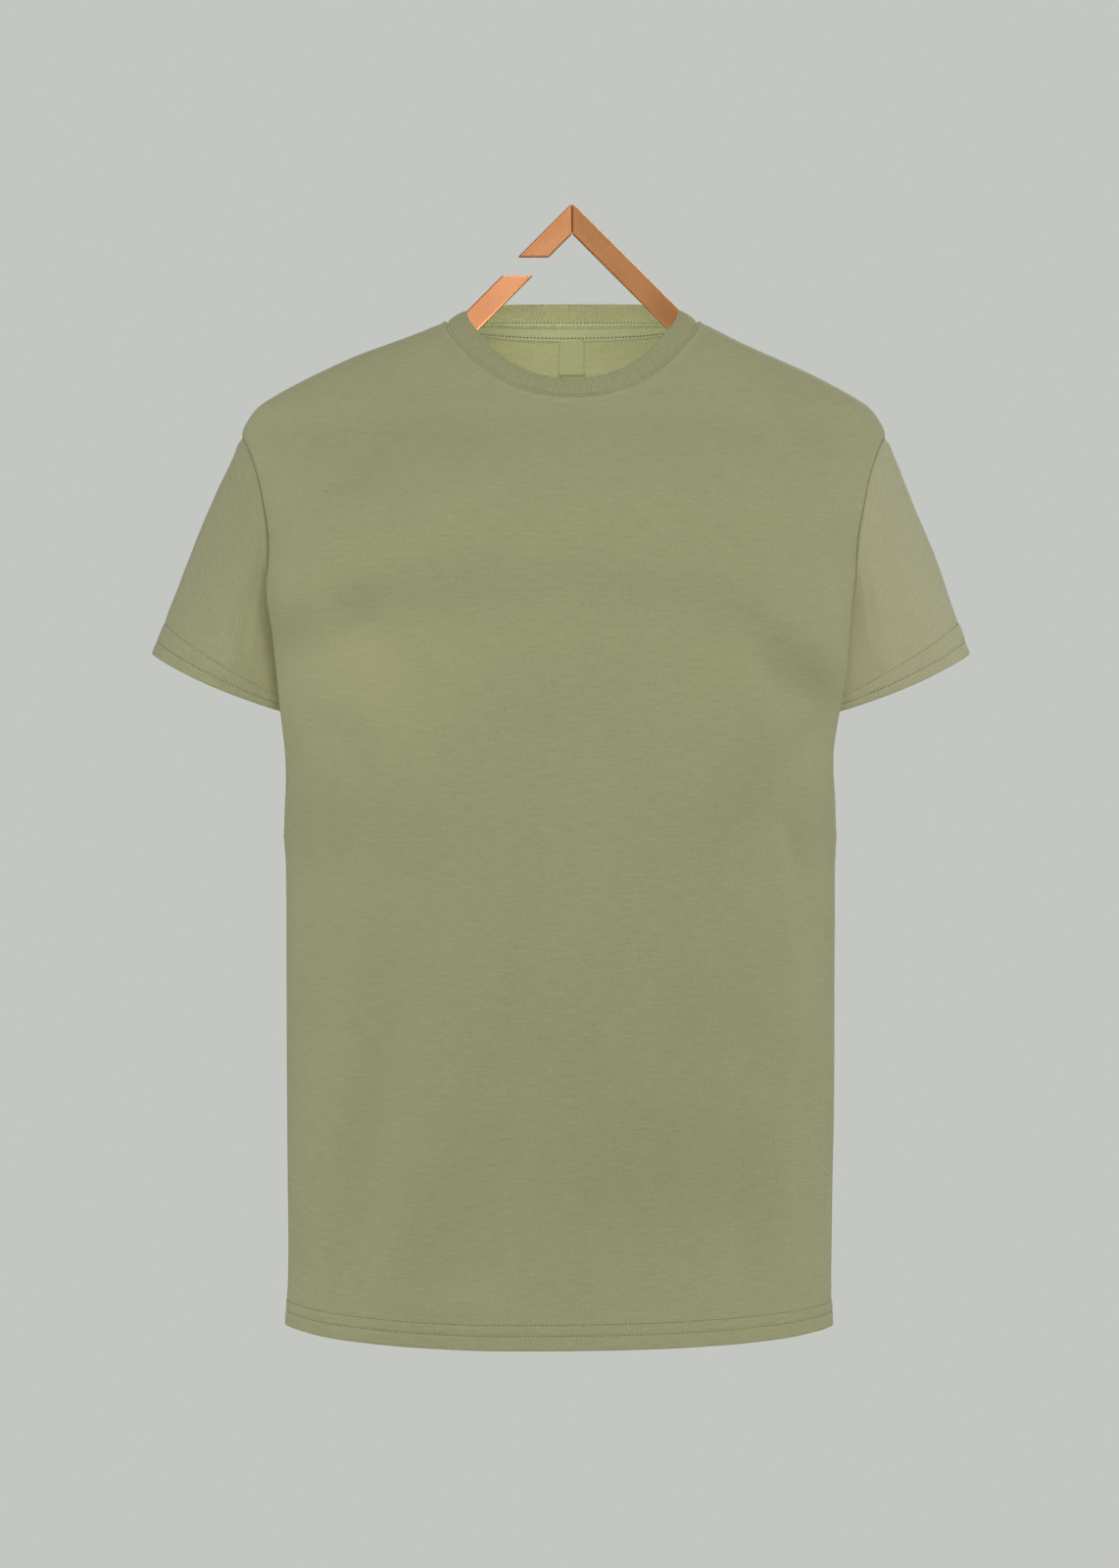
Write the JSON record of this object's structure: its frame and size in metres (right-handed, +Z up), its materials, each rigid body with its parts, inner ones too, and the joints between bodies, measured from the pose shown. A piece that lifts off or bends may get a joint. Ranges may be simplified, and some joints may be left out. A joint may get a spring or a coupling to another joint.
{
  "type": "t-shirt on a hanger",
  "caption": "Short-sleeve crew-neck jersey t-shirt, filled out with no wearer, hanging on an angular flat-bar hanger whose hook is open on one side.",
  "frame": {"origin": "the inner corner of the hanger's hook, where it rests on a rail", "axes": "+Z up, the shirt's front faces -Y, +X to the viewer's right when the front is looked at"},
  "size_m": [0.582, 0.2232, 0.7966],
  "materials": {
    "body_jersey": "plain cotton single jersey, matt",
    "sleeve_jersey": "plain cotton single jersey, matt",
    "band_rib": "one-by-one cotton rib, matt",
    "tape_twill": "cotton neck tape, matt",
    "label_print": "soft woven label, bare",
    "hanger_copper": "satin brushed, copper coloured"
  },
  "bodies": {
    "root": {"front_panel": "body_jersey", "back_panel": "body_jersey", "left_sleeve": "sleeve_jersey", "right_sleeve": "sleeve_jersey", "neckband": "band_rib", "neck_tape": "tape_twill", "neck_label": "label_print", "hook_bar": "hanger_copper", "right_arm_bar": "hanger_copper", "left_arm_bar": "hanger_copper", "right_shoulder_bar": "hanger_copper", "left_shoulder_bar": "hanger_copper", "bottom_bar": "hanger_copper"}
  },
  "joints": []
}
